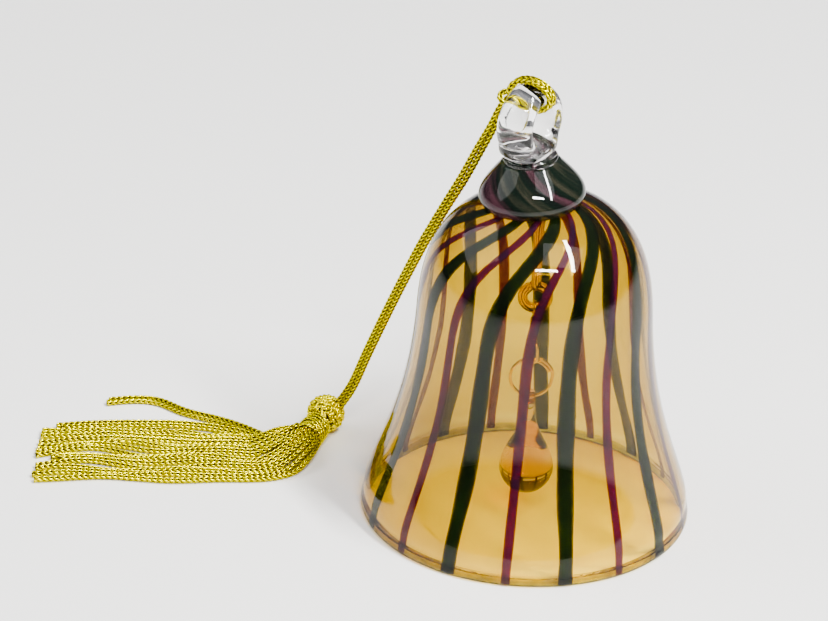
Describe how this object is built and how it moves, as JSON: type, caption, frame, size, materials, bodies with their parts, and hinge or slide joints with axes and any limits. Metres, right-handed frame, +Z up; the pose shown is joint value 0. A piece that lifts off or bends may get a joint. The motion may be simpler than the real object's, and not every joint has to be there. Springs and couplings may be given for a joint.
{
  "type": "bell ornament",
  "caption": "Glass bell ornament with fused twisting canes, a crown with a hanging eye, a teardrop clapper on a wire chain, and a cord with a tassel.",
  "frame": {"origin": "centre of the bell's mouth, on the surface that the bell stands on", "axes": "+Z up along the bell's axis; the cord runs down towards -X and +Y and the tassel lies along -X"},
  "size_m": [0.1239, 0.066, 0.0865],
  "materials": {
    "amber_bell_glass": "thin clear hand-blown glass, amber tinted, smooth",
    "green_glass": "dark olive green glass cane, fused into the wall",
    "purple_glass": "purple glass cane, fused into the wall",
    "crown_glass": "dark smoky glass with swirled streaks, glossy",
    "clear_glass": "clear solid glass, fire polished",
    "amber_glass": "amber solid glass, fire polished",
    "pale_amber_glass": "pale amber solid glass, fire polished",
    "gold_wire": "bright gold coloured wire",
    "gold_cord": "knitted shiny gold yarn",
    "binding_thread": "fine gold thread, tightly wound"
  },
  "bodies": {
    "bell": {"bell_shell": "amber_bell_glass", "green_cane_1": "green_glass", "purple_cane_1": "purple_glass", "green_cane_2": "green_glass", "purple_cane_2": "purple_glass", "green_cane_3": "green_glass", "purple_cane_3": "purple_glass", "green_cane_4": "green_glass", "purple_cane_4": "purple_glass", "green_cane_5": "green_glass", "purple_cane_5": "purple_glass", "green_cane_6": "green_glass", "purple_cane_6": "purple_glass", "green_cane_7": "green_glass", "purple_cane_7": "purple_glass", "green_cane_8": "green_glass", "purple_cane_8": "purple_glass", "green_cane_9": "green_glass", "purple_cane_9": "purple_glass", "crown": "crown_glass", "eye_foot": "clear_glass", "hanging_eye": "clear_glass", "inner_hook": "amber_glass", "cord_hitch": "gold_cord", "cord_leg_1": "gold_cord", "cord_leg_2": "gold_cord", "tassel_head": "gold_cord", "tassel_neck": "binding_thread", "tassel_skirt": "gold_cord", "stray_strand_1": "gold_cord", "stray_strand_2": "gold_cord"},
    "link": {"wire_link": "gold_wire"},
    "ring": {"wire_ring": "gold_wire"},
    "clapper": {"clapper_loop": "amber_glass", "clapper_drop": "pale_amber_glass"}
  },
  "joints": [
    {"name": "link_swing", "type": "hinge", "parent": "bell", "child": "link", "pos_m": [0, 0, 0.0413], "axis": [1, 0, 0], "range_deg": [-15, 15]},
    {"name": "ring_swing", "type": "hinge", "parent": "link", "child": "ring", "pos_m": [0, 0, 0.0303], "axis": [0, 1, 0], "range_deg": [-36, 36]},
    {"name": "clapper_swing", "type": "hinge", "parent": "ring", "child": "clapper", "pos_m": [0, 0, 0.02336], "axis": [1, 0, 0], "range_deg": [-22, 22]}
  ]
}
